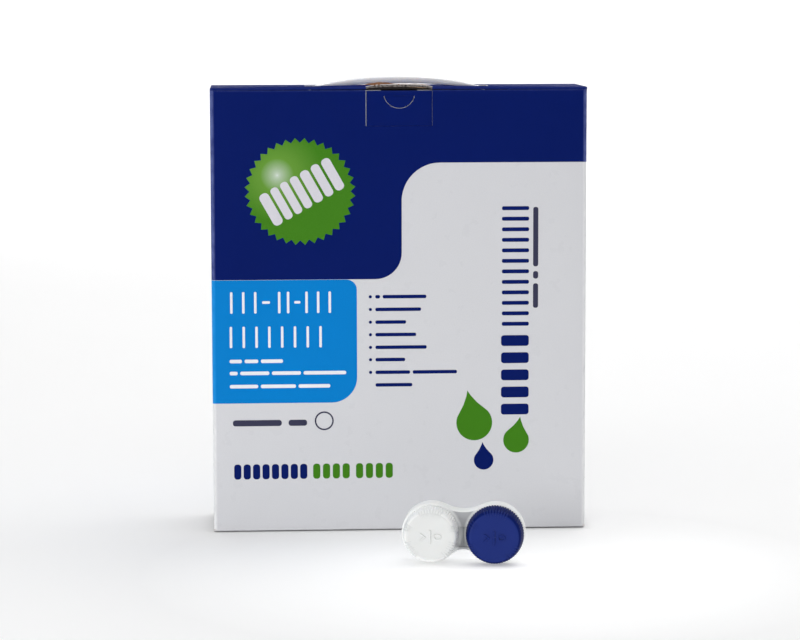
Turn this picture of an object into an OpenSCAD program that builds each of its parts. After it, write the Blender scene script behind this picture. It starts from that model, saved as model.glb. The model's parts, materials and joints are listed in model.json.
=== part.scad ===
// Multipack of contact lens solution: a printed board carton with a carry strap, three bottles
// inside it, a folded leaflet, and a screw-top lens case standing in front.
// The origin is the middle of the carton's base. +Z is up and the printed front faces -Y.

/* [Carton] */
// Width of the carton, left to right
carton_w = 220; // [219:0.5:226]
// Depth of the carton, front to back
carton_d = 60; // [59:0.5:64]
// Height of the carton with its lid closed
carton_h = 261; // [260.5:0.5:270]
// Thickness of the fluted board
board = 1.5; // [1.2:0.1:1.6]

/* [Lid flaps] */
// Width of the flap that tucks in behind the front panel
tuck_w = 92; // [60:1:94]
// Length of the tuck flap, down from the lid
tuck_len = 38; // [30:1:40]
// Length of each dust flap, in from the side panel
dust_len = 42; // [25:1:43]
// Angle that the rear edge of a dust flap is cut back by
dust_taper = 30; // [30:1:40]

/* [Press tab] */
// Width of the tab cut into the top of the front panel
tab_w = 38.6; // [30:0.1:44]
// Height of the tab, from its crease to its free edge
tab_h = 20; // [19:0.5:20.5]
// Width of the thumb tongue at its crease
tongue_w = 18.6; // [14:0.1:20]
// Height of the thumb tongue
tongue_h = 7.6; // [6:0.1:8.5]

/* [Carry strap] */
// Width of the strap, front to back
strap_w = 20; // [16:1:24]
// Thickness of the strap
strap_t = 2.2; // [1.8:0.1:2.6]
// Distance between the strap's two legs
strap_span = 103; // [100:1:104]
// Height of the top of the strap above the lid
strap_rise = 7; // [5:0.1:8]
// How far the strap can be pulled up before its anchors meet the lid
strap_travel = 10; // [8:0.5:10]

/* [Bottles] */
// Width of a bottle
bottle_w = 70; // [66:0.5:71]
// Depth of a bottle
bottle_d = 51; // [48:0.5:52]
// Height of a bottle's straight body
body_h = 190; // [180:1:191]
// Height of its shoulder
shoulder_h = 22; // [18:1:22]
// Radius of the vertical corners
corner_r = 21.5; // [16:0.5:23]
// Thickness of the bottle's wall
bottle_wall = 1.1; // [0.8:0.1:1.4]
// Outer radius of the neck
neck_r = 13.2; // [12.5:0.1:13.6]
// Outer radius of the screw cap
cap_r = 15.5; // [15.2:0.1:16]
// Distance between the middles of neighbouring bottles
bottle_pitch = 71.6; // [71.2:0.1:71.8]

/* [Lens case] */
// Distance between the middles of the two wells
well_pitch = 35.6; // [35:0.1:38]
// Radius of the flange round each well
flange_r = 16.6; // [16.4:0.1:17]
// Outer radius of each cap at its open end
case_cap_r = 16; // [15.7:0.1:16.4]
// Height of each cap
case_cap_h = 11.4; // [10:0.1:12]
// Inner radius of each well
well_r = 12.4; // [11.5:0.1:12.6]
// Angle that the case is turned by, clockwise seen from above
case_turn = 8; // [0:0.1:15]

/* [Leaflet] */
// Width of the folded leaflet
leaflet_w = 88; // [60:1:120]
// Height of the folded leaflet
leaflet_h = 150; // [100:1:160]
// Thickness of the folded leaflet
leaflet_t = 1.8; // [0.8:0.1:2]

/* [Hidden] */
$fn = 96;
// Gap left at a crease or a cut between two pieces of board that move
crease_gap = 0.2;
cut_gap = 0.25;
tongue_gap = 0.4;
half_w = carton_w / 2;
half_d = carton_d / 2;
inner_x = half_w - board;
inner_y = half_d - board;
lid_z = carton_h - board;
wall_top = lid_z - crease_gap;
floor_z = 3 * board;

// Flap that tucks behind the front panel, and the pieces of the front panel's tab
tuck_y = -inner_y + 0.8;
tuck_corner = 12;
tab_bottom = wall_top - 0.7 - tab_h;
tab_top = tab_bottom + tab_h;
tongue_top = tab_top - 2;
tongue_r = (pow(tongue_w / 2, 2) + pow(tongue_h, 2)) / (2 * tongue_h);
tongue_mid_z = tongue_top - tongue_h + tongue_r;
notch_margin = 1.2;

// The lid's front edge is set back above the tab
lid_notch = 1.6;

// Dust flaps of the lid lie just under it
dust_top = wall_top - 0.1;
dust_root_x = inner_x - crease_gap;
dust_tip_x = dust_root_x - dust_len;
dust_front_y = -inner_y + 0.5;
dust_back_y = inner_y - 0.5;
dust_corner = 6;

glue_flap_w = 15;
bottom_inner_depth = 40;

// Carry strap: an arch with a leg at each end that passes down through the lid
leg_x = strap_span / 2;
strap_top = carton_h + strap_rise;
arch_drop = strap_rise - strap_t - 0.1;
arch_half = leg_x + strap_t / 2;
arch_r = (pow(arch_half, 2) + pow(arch_drop, 2)) / (2 * arch_drop);
anchor_top = lid_z - strap_travel;
anchor_h = 3;
anchor_w = 28;
anchor_t = 4;
slot_clear = 0.6;

// Bottle heights, from the bottle's own base
bottle_y = -0.6;
bottle_z = floor_z + 0.1;
bottle_floor = 1.2;
ring_z = body_h + shoulder_h;
ring_h = 2;
ring_r = 16;
neck_bore = neck_r - 1.4;
neck_top = ring_z + ring_h + 16;
thread_r = neck_r + 0.7;
thread_pitch = 3;
tamper_z = ring_z + ring_h + 0.3;
tamper_h = 2.7;
tamper_bore = thread_r + 0.3;
cap_z = tamper_z + tamper_h + 0.3;
cap_h = 23;
cap_top_t = 1.3;
cap_bore = thread_r + 0.3;
liner_t = 1.2;
liner_gap = 0.05;
liner_z = cap_z + cap_h - cap_top_t - liner_t - liner_gap;
label_z = 28;
label_h = 140;
label_t = 0.15;
label_split = 4;
fill_h = body_h - bottle_floor - 2;

// Lens case depths, from its back to the front of its caps
case_x = 30.9;
case_y = -116.4;
well_depth = 9;
flange_t = 1.6;
well_floor = 1.2;
collar_h = 6;
collar_top = well_depth + flange_t + collar_h;
collar_r = well_r + 1.2;
case_thread_r = collar_r + 0.6;
well_wall_r = well_r + 1.4;
skirt_t = 1.2;
web_top = 11.1;
web_bottom = 9.4;
// The hollow arcs cut this far into the flanges' circles, so that the outlines cross cleanly
web_bite = 0.04;
case_cap_z = well_depth + flange_t + 0.2;
case_draft = 1;
case_bevel = 1.6;
case_bevel_in = 1.5;
case_cap_bore = case_thread_r + 0.4;
case_cap_top = 1.4;

// ---------- shapes that repeat ----------

// A box given by its lowest and highest corners
module block(low, high) {
    translate(low) cube(high - low);
}

// An outline drawn in X and Z, given a thickness towards +Y from y
module upright(y, thickness) {
    translate([0, y + thickness, 0])
        rotate([90, 0, 0])
            linear_extrude(thickness) children();
}

// A rectangle with four round corners, centred
module rounded_rect(w, d, r) {
    square([w - 2 * r, d], center = true);
    square([w, d - 2 * r], center = true);
    for (sx = [-1, 1], sy = [-1, 1])
        translate([sx * (w / 2 - r), sy * (d / 2 - r)]) circle(r);
}

// ---------- carton walls ----------

module front_panel() {
    color("navy")
        difference() {
            block([-half_w, -half_d, board], [half_w, -inner_y, wall_top]);
            block([-tab_w / 2, -half_d - 1, tab_bottom], [tab_w / 2, -inner_y + 1, wall_top + 1]);
        }
}

module back_panel() {
    color("navy") block([-half_w, inner_y, board], [half_w, half_d, wall_top]);
}

module side_panel() {
    block([inner_x, -inner_y, board], [half_w, inner_y, dust_top]);
}

module side_panel_left() {
    color("navy") mirror([1, 0, 0]) side_panel();
}

module side_panel_right() {
    color("navy") side_panel();
}

module glue_flap() {
    color("tan")
        block([-inner_x, inner_y - board, floor_z], [-inner_x + glue_flap_w, inner_y, wall_top - 6]);
}

// ---------- carton bottom ----------

module bottom_flap_outer() {
    color("white") block([-half_w, -half_d, 0], [half_w, half_d, board]);
}

module bottom_flap_inner() {
    color("tan") block([-inner_x, -inner_y, board], [inner_x, -inner_y + bottom_inner_depth, 2 * board]);
}

module bottom_dust() {
    block([crease_gap, -inner_y, 2 * board], [inner_x, inner_y, floor_z]);
}

module bottom_dust_left() {
    color("tan") mirror([1, 0, 0]) bottom_dust();
}

module bottom_dust_right() {
    color("tan") bottom_dust();
}

// ---------- lid and its flaps ----------

module lid_panel() {
    color("navy")
        difference() {
            block([-half_w, -half_d, lid_z], [half_w, half_d, carton_h]);
            for (side = [-1, 1])
                translate([side * leg_x, 0, carton_h - board / 2])
                    cube([strap_t + 2 * slot_clear, strap_w + 2 * slot_clear, 2 * board], center = true);
            block([-tab_w / 2, -half_d - 1, lid_z - 1], [tab_w / 2, -half_d + lid_notch, carton_h + 1]);
        }
}

// The tuck flap has round lower corners and a notch that the thumb tongue swings into
module tuck_outline() {
    low = lid_z - tuck_len;
    high = wall_top;
    difference() {
        union() {
            translate([-tuck_w / 2, low + tuck_corner]) square([tuck_w, high - low - tuck_corner]);
            translate([-tuck_w / 2 + tuck_corner, low]) square([tuck_w - 2 * tuck_corner, tuck_corner + 1]);
            for (side = [-1, 1])
                translate([side * (tuck_w / 2 - tuck_corner), low + tuck_corner]) circle(tuck_corner);
        }
        translate([0, tongue_mid_z]) circle(tongue_r + notch_margin);
    }
}

module tuck_flap() {
    color("tan") upright(tuck_y, board) tuck_outline();
}

module lid_dust() {
    cut = dust_len * tan(dust_taper);
    translate([0, 0, dust_top - board])
        linear_extrude(board)
            polygon([
                [dust_root_x, dust_front_y],
                [dust_root_x, dust_back_y],
                [dust_tip_x, dust_back_y - cut],
                [dust_tip_x, dust_front_y + dust_corner],
                [dust_tip_x + dust_corner, dust_front_y]
            ]);
}

module lid_dust_left() {
    color("tan") mirror([1, 0, 0]) lid_dust();
}

module lid_dust_right() {
    color("tan") lid_dust();
}

// ---------- press tab and thumb tongue ----------

// The round-ended tongue that ends top_gap below its crease, made larger by grow
module tongue_outline(grow, top_gap) {
    intersection() {
        translate([0, tongue_mid_z]) circle(tongue_r + grow);
        translate([-tongue_w, tongue_top - top_gap - 2 * tongue_h]) square([2 * tongue_w, 2 * tongue_h]);
    }
}

module press_tab() {
    color("navy")
        upright(-half_d, board)
            difference() {
                translate([-tab_w / 2 + cut_gap, tab_bottom + crease_gap])
                    square([tab_w - 2 * cut_gap, tab_h - crease_gap]);
                tongue_outline(0, 0);
            }
}

module thumb_tongue() {
    color("navy")
        upright(-half_d, board) tongue_outline(-tongue_gap, crease_gap);
}

// ---------- carry strap ----------

module strap_outline() {
    intersection() {
        translate([0, strap_top - arch_r])
            difference() {
                circle(arch_r, $fn = 720);
                circle(arch_r - strap_t, $fn = 720);
            }
        translate([-arch_half, carton_h - strap_t]) square([2 * arch_half, 4 * strap_t]);
    }
    for (side = [-1, 1])
        translate([side * leg_x - strap_t / 2, anchor_top - anchor_h])
            square([strap_t, carton_h - anchor_top + anchor_h]);
}

module carry_strap() {
    color("whitesmoke") {
        upright(-strap_w / 2, strap_w) strap_outline();
        for (side = [-1, 1])
            translate([side * leg_x, 0, anchor_top - anchor_h / 2])
                cube([anchor_t, anchor_w, anchor_h], center = true);
    }
}

// ---------- bottles ----------

module at_bottle(n) {
    translate([(n - 2) * bottle_pitch, bottle_y, bottle_z]) children();
}

module bottle_section(grow) {
    rounded_rect(bottle_w + 2 * grow, bottle_d + 2 * grow, corner_r + grow);
}

// The shoulder blends from the bottle's section to its round neck in two steps
module shoulder(grow) {
    step_h = shoulder_h * 0.45;
    sliver = 0.01;
    hull($fn = 32) {
        translate([0, 0, body_h - sliver]) linear_extrude(sliver) bottle_section(grow);
        translate([0, 0, body_h + step_h]) linear_extrude(sliver) bottle_section(grow - 6);
    }
    hull($fn = 32) {
        translate([0, 0, body_h + step_h]) linear_extrude(sliver) bottle_section(grow - 6);
        translate([0, 0, ring_z - sliver]) cylinder(r = neck_r + grow + 1, h = sliver);
    }
}

// The neck with its support ring and two thread turns, as a turned shape
module neck() {
    rise = thread_pitch / 2;
    first = neck_top - 11;
    second = first + thread_pitch + rise;
    rotate_extrude()
        polygon([
            [0, ring_z - 1], [ring_r - 1.5, ring_z - 1], [ring_r, ring_z], [ring_r, ring_z + ring_h],
            [neck_r, ring_z + ring_h], [neck_r, first], [thread_r, first + 0.4],
            [thread_r, first + rise - 0.4], [neck_r, first + rise], [neck_r, second],
            [thread_r, second + 0.4], [thread_r, second + rise - 0.4], [neck_r, second + rise],
            [neck_r, neck_top], [0, neck_top]
        ]);
}

module bottle_shell() {
    difference() {
        union() {
            linear_extrude(body_h) bottle_section(0);
            shoulder(0);
            neck();
        }
        translate([0, 0, bottle_floor]) linear_extrude(body_h - bottle_floor) bottle_section(-bottle_wall);
        shoulder(-bottle_wall);
        translate([0, 0, ring_z - 3]) cylinder(r = neck_bore, h = neck_top);
    }
}

module solution() {
    translate([0, 0, bottle_floor + 0.1]) linear_extrude(fill_h) bottle_section(-bottle_wall - 0.1);
}

// The dropper's skirt plugs the neck, and its nozzle stands up into the cap
module dropper() {
    skirt = neck_bore - 0.05;
    nozzle_top = liner_z - 0.2;
    rotate_extrude()
        polygon([
            [skirt - 1.2, neck_top - 9], [skirt, neck_top - 9], [skirt, neck_top], [neck_r - 0.2, neck_top],
            [neck_r - 0.2, neck_top + 1], [5, neck_top + 1.4], [2.2, nozzle_top], [0.5, nozzle_top],
            [0.5, neck_top - 1], [skirt - 1.2, neck_top - 1]
        ]);
}

module tamper_ring() {
    translate([0, 0, tamper_z])
        difference() {
            cylinder(r = cap_r, h = tamper_h);
            translate([0, 0, -1]) cylinder(r = tamper_bore, h = tamper_h + 2);
        }
}

module cap_liner() {
    translate([0, 0, liner_z]) cylinder(r = cap_bore - 0.3, h = liner_t);
}

module screw_cap() {
    edge = 1.2;
    translate([0, 0, cap_z])
        rotate_extrude()
            polygon([
                [cap_bore, 0], [cap_r, 0], [cap_r, cap_h - edge], [cap_r - edge, cap_h], [0, cap_h],
                [0, cap_h - cap_top_t], [cap_bore, cap_h - cap_top_t]
            ]);
}

// A label wraps one half of the body; side is -1 for the front and 1 for the back
module label(side) {
    reach = bottle_w;
    translate([0, 0, label_z])
        linear_extrude(label_h)
            intersection() {
                difference() {
                    bottle_section(label_t);
                    bottle_section(0);
                }
                translate([-reach, side > 0 ? label_split : -label_split - reach]) square([2 * reach, reach]);
            }
}

module bottle_1() { color("white") at_bottle(1) bottle_shell(); }
module bottle_2() { color("white") at_bottle(2) bottle_shell(); }
module bottle_3() { color("white") at_bottle(3) bottle_shell(); }
module solution_1() { color("lightblue") at_bottle(1) solution(); }
module solution_2() { color("lightblue") at_bottle(2) solution(); }
module solution_3() { color("lightblue") at_bottle(3) solution(); }
module dropper_1() { color("white") at_bottle(1) dropper(); }
module dropper_2() { color("white") at_bottle(2) dropper(); }
module dropper_3() { color("white") at_bottle(3) dropper(); }
module tamper_ring_1() { color("royalblue") at_bottle(1) tamper_ring(); }
module tamper_ring_2() { color("royalblue") at_bottle(2) tamper_ring(); }
module tamper_ring_3() { color("royalblue") at_bottle(3) tamper_ring(); }
module cap_liner_1() { color("gainsboro") at_bottle(1) cap_liner(); }
module cap_liner_2() { color("gainsboro") at_bottle(2) cap_liner(); }
module cap_liner_3() { color("gainsboro") at_bottle(3) cap_liner(); }
module screw_cap_1() { color("royalblue") at_bottle(1) screw_cap(); }
module screw_cap_2() { color("royalblue") at_bottle(2) screw_cap(); }
module screw_cap_3() { color("royalblue") at_bottle(3) screw_cap(); }
module label_front_1() { color("aliceblue") at_bottle(1) label(-1); }
module label_front_2() { color("aliceblue") at_bottle(2) label(-1); }
module label_front_3() { color("aliceblue") at_bottle(3) label(-1); }
module label_back_1() { color("aliceblue") at_bottle(1) label(1); }
module label_back_2() { color("aliceblue") at_bottle(2) label(1); }
module label_back_3() { color("aliceblue") at_bottle(3) label(1); }

// ---------- lens case, standing on its edge with its caps to the front ----------

// The case is drawn flat, with its back at z = 0 and its caps upwards, and then stood up
module stand_case() {
    translate([case_x, case_y, flange_r])
        rotate([0, 0, -case_turn])
            rotate([90, 0, 0]) children();
}

module at_well(side) {
    translate([side * well_pitch / 2, 0, 0]) children();
}

// Height of the middle of the arc that joins the two flanges, waist above or below their middles
function fillet_mid(waist) =
    (pow(well_pitch / 2, 2) - pow(flange_r - waist, 2)) / (2 * (flange_r - waist));

// Two round flanges joined by a web with a hollow arc above and below, made larger by grow
module case_outline(grow) {
    up_mid = fillet_mid(web_top);
    low_mid = fillet_mid(web_bottom);
    for (side = [-1, 1])
        at_well(side) circle(flange_r + grow);
    difference() {
        polygon([[-well_pitch / 2, 0], [0, up_mid], [well_pitch / 2, 0], [0, -low_mid]]);
        translate([0, up_mid]) circle(up_mid - web_top - grow + web_bite);
        translate([0, -low_mid]) circle(low_mid - web_bottom - grow + web_bite);
    }
}

module lens_case_base() {
    color("white")
        stand_case()
            difference() {
                union() {
                    translate([0, 0, well_depth]) linear_extrude(flange_t) case_outline(0);
                    linear_extrude(well_depth + 0.1)
                        difference() {
                            case_outline(0);
                            case_outline(-skirt_t);
                        }
                    for (side = [-1, 1])
                        at_well(side) {
                            cylinder(r = well_wall_r, h = well_depth + 0.1);
                            cylinder(r = collar_r, h = collar_top);
                            translate([0, 0, collar_top - 4]) cylinder(r = case_thread_r, h = 1.2);
                        }
                }
                for (side = [-1, 1])
                    at_well(side) translate([0, 0, well_floor]) cylinder(r = well_r, h = collar_top);
            }
}

module case_cap() {
    translate([0, 0, case_cap_z])
        rotate_extrude()
            polygon([
                [case_cap_bore, 0], [case_cap_r, 0], [case_cap_r - case_draft, case_cap_h - case_bevel],
                [case_cap_r - case_draft - case_bevel_in, case_cap_h], [0, case_cap_h],
                [0, case_cap_h - case_cap_top], [case_cap_bore - 1, case_cap_h - case_cap_top],
                [case_cap_bore, case_cap_h - 2 * case_cap_top]
            ]);
}

module lens_case_cap_left() {
    color("white") stand_case() at_well(-1) case_cap();
}

module lens_case_cap_right() {
    color("darkblue") stand_case() at_well(1) case_cap();
}

// ---------- leaflet, between the bottles and the back panel ----------

module leaflet() {
    back = inner_y - 0.9;
    color("white")
        block([-leaflet_w / 2, back - leaflet_t, floor_z + 0.1], [leaflet_w / 2, back, floor_z + leaflet_h]);
}

front_panel();
back_panel();
side_panel_left();
side_panel_right();
glue_flap();
bottom_flap_outer();
bottom_flap_inner();
bottom_dust_left();
bottom_dust_right();
lid_panel();
tuck_flap();
lid_dust_left();
lid_dust_right();
press_tab();
thumb_tongue();
carry_strap();
bottle_1();
bottle_2();
bottle_3();
solution_1();
solution_2();
solution_3();
dropper_1();
dropper_2();
dropper_3();
tamper_ring_1();
tamper_ring_2();
tamper_ring_3();
cap_liner_1();
cap_liner_2();
cap_liner_3();
screw_cap_1();
screw_cap_2();
screw_cap_3();
label_front_1();
label_front_2();
label_front_3();
label_back_1();
label_back_2();
label_back_3();
lens_case_base();
lens_case_cap_left();
lens_case_cap_right();
leaflet();
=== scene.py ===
"""Looks of the contact lens solution multipack: a printed board carton with a carry strap, three
bottles, a leaflet, and a screw-top lens case in front. Shapes are in millimetres until make(), which
turns them into metres; materials, lights and the camera are in metres."""

import json
import math

import bmesh
import bpy
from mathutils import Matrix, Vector
from mathutils.geometry import tessellate_polygon

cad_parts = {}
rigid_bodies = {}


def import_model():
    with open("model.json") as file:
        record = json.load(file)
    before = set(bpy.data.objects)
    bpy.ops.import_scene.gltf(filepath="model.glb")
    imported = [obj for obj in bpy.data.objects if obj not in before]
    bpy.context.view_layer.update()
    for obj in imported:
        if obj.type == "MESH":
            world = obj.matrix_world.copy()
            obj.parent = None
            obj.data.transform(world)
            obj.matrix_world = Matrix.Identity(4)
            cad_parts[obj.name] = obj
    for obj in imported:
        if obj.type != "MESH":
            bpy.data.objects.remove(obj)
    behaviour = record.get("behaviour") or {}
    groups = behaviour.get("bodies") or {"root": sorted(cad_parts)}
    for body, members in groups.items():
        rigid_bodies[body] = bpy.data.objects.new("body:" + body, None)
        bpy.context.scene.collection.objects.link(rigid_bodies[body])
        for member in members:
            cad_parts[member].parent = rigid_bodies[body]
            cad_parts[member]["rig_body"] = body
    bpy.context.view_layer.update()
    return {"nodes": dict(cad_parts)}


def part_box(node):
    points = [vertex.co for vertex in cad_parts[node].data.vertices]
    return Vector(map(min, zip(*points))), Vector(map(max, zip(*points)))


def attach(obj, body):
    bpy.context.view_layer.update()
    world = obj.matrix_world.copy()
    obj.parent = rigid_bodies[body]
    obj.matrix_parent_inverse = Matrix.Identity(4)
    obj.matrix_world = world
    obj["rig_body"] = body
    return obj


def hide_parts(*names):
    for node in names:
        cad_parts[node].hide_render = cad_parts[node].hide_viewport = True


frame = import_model()

MM = 0.001

# The lens case: the middle of its back, its flanges' radius, its wells' distance from its middle,
# the web's height above and below that middle, and its turn
CASE_X, CASE_Y, FLANGE, WELL = 31.2, -116.4, 16.6, 17.8
WEB_TOP, WEB_LOW = 12.4, 9.4
CASE_C, CASE_S = math.cos(math.radians(8)), math.sin(math.radians(8))


def cad_box(node):
    """A CAD node's lowest and highest corners in millimetres."""
    low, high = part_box(node)
    return [v / MM for v in low], [v / MM for v in high]


# ---------------------------------------------------------------- mesh tools


def make(name, verts, faces, mats, body, replaces=(), slot=None, angle=30.0, marks=None):
    """One mesh piece of closed shells. A face is a tuple of vertex numbers, and marks has its material."""
    mesh = bpy.data.meshes.new(name)
    bm = bmesh.new()
    made = [bm.verts.new([c * MM for c in v]) for v in verts]
    for k, face in enumerate(faces):
        try:
            f = bm.faces.new([made[i] for i in face])
        except ValueError:
            continue
        f.material_index = marks[k] if marks else 0
    bmesh.ops.recalc_face_normals(bm, faces=bm.faces)
    bm.to_mesh(mesh)
    bm.free()
    for m in mats:
        mesh.materials.append(m)
    mesh.shade_smooth()
    mesh.set_sharp_from_angle(angle=math.radians(angle))
    obj = bpy.data.objects.new(name, mesh)
    bpy.context.scene.collection.objects.link(obj)
    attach(obj, body)
    if replaces:
        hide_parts(*replaces)
    return obj


class Build:
    """Vertices, faces and material marks of several closed shells that make one piece."""

    def __init__(self):
        self.verts, self.faces, self.marks = [], [], []

    def ring(self, points):
        """Adds points and returns their vertex numbers."""
        start = len(self.verts)
        self.verts += [tuple(p) for p in points]
        return list(range(start, start + len(points)))

    def bridge(self, a, b, marks=0):
        """A band of quads between two rings; marks is one material number, or one for each quad."""
        n = len(a)
        for i in range(n):
            j = (i + 1) % n
            self.faces.append((a[i], a[j], b[j], b[i]))
            self.marks.append(marks[i] if isinstance(marks, list) else marks)

    def cap(self, loops, mark=0):
        """Closes one or more loops of vertex indices with triangles; the first loop is the outer one."""
        flat = [i for loop in loops for i in loop]
        for tri in tessellate_polygon([[Vector(self.verts[i]) for i in loop] for loop in loops]):
            self.faces.append(tuple(flat[t] for t in tri))
            self.marks.append(mark)

    def loft(self, rings, ends=True, marks=0):
        """A closed shell through rings of points, capped at both ends or joined back to the start."""
        made = [self.ring(r) for r in rings]
        for k in range(len(made) - 1):
            self.bridge(made[k], made[k + 1], marks[k] if isinstance(marks, list) else marks)
        if ends:
            for end in (made[0], made[-1]):
                self.faces.append(tuple(end))
                self.marks.append(marks[0] if isinstance(marks, list) else marks)
        else:
            self.bridge(made[-1], made[0], marks[-1] if isinstance(marks, list) else marks)
        return made

    def piece(self, name, mats, body, **more):
        make(name, self.verts, self.faces, mats, body, marks=self.marks, **more)


def inset(loop, distances):
    """The loop with each edge moved to its left by its own distance."""
    n, out = len(loop), []
    for i in range(n):
        before, here, after = Vector(loop[i - 1]), Vector(loop[i]), Vector(loop[(i + 1) % n])
        e0, e1 = (here - before).normalized(), (after - here).normalized()
        n0, n1 = Vector((-e0.y, e0.x)), Vector((-e1.y, e1.x))
        d0, d1 = distances[i - 1], distances[i]
        cross = n0.x * n1.y - n0.y * n1.x
        if abs(cross) < 0.08:
            move = (n0 * d0 + n1 * d1) / 2
        else:
            move = Vector((d0 * n1.y - d1 * n0.y, d1 * n0.x - d0 * n1.x)) / cross
        out.append((here.x + move.x, here.y + move.y))
    return out


def plate(build, loops, path, place, kinds=None, cap_marks=(0, 0)):
    """A flat piece with shaped edges. path holds (depth, insets, marks), each with one entry per kind
    of edge; kinds gives each loop's edge kinds; the outer loop runs anticlockwise and holes clockwise."""
    rings = []
    for number, loop in enumerate(loops):
        kind = kinds[number] if kinds else [0] * len(loop)
        made, last = [], None
        for depth, insets, marks in path:
            now = build.ring([place(u, v, depth) for u, v in inset(loop, [insets[k] for k in kind])])
            if last:
                build.bridge(last, now, [marks[k] for k in kind])
            made.append(now)
            last = now
        rings.append(made)
    build.cap([made[0] for made in rings], cap_marks[0])
    build.cap([made[-1] for made in rings], cap_marks[1])


def slab(build, loops, steps, place, mark=0):
    """A plate of one material whose edges are all alike; steps holds (depth, inset)."""
    plate(build, loops, [(w, (d,), (mark,)) for w, d in steps], place, None, (mark, mark))


def arc(cx, cy, r, start, end, steps):
    """Points on an arc, with the angles in degrees."""
    return [
        (cx + r * math.cos(math.radians(start + (end - start) * i / steps)),
         cy + r * math.sin(math.radians(start + (end - start) * i / steps)))
        for i in range(steps + 1)
    ]


def rounded(x0, y0, x1, y1, r, steps=6):
    """A rectangle with round corners, anticlockwise."""
    r = min(r, (x1 - x0) / 2 - 1e-3, (y1 - y0) / 2 - 1e-3)
    return (arc(x1 - r, y0 + r, r, -90, 0, steps) + arc(x1 - r, y1 - r, r, 0, 90, steps)
            + arc(x0 + r, y1 - r, r, 90, 180, steps) + arc(x0 + r, y0 + r, r, 180, 270, steps))


def circle(cx, cy, r, steps=32):
    """A circle as a loop, anticlockwise."""
    return arc(cx, cy, r, 0, 360 * (steps - 1) / steps, steps - 1)


def turned(build, profile, n, place, wobble=None, ends=True, marks=0):
    """A shell turned from (radius, depth) points. wobble(step, angle) is added to the radius."""
    rings = []
    for k, (r, w) in enumerate(profile):
        ring = []
        for i in range(n):
            a = 2 * math.pi * i / n
            rr = r + (wobble(k, a) if wobble else 0)
            ring.append(place(rr * math.cos(a), rr * math.sin(a), w))
        rings.append(ring)
    return build.loft(rings, ends, marks)


def thread(build, r, pitch, turns, start, place, height, width):
    """A raised screw thread with tapered ends, as one closed sweep from the depth start."""
    steps, root, ends = 48, -0.3, 6
    total = int(turns * steps)
    rings = []
    for i in range(total + 1):
        a, t = 2 * math.pi * i / steps, i / total
        fade = min(1.0, t * ends, (1 - t) * ends)
        h, mid = max(height * fade, 0.03), start + pitch * i / steps
        ring = []
        for dr, dw in ((root, -width / 2), (h, -width / 5), (h, width / 5), (root, width / 2)):
            rr = r + dr
            ring.append(place(rr * math.cos(a), rr * math.sin(a), mid + dw))
        rings.append(ring)
    build.loft(rings)


# ---------------------------------------------------------------- materials


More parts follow.
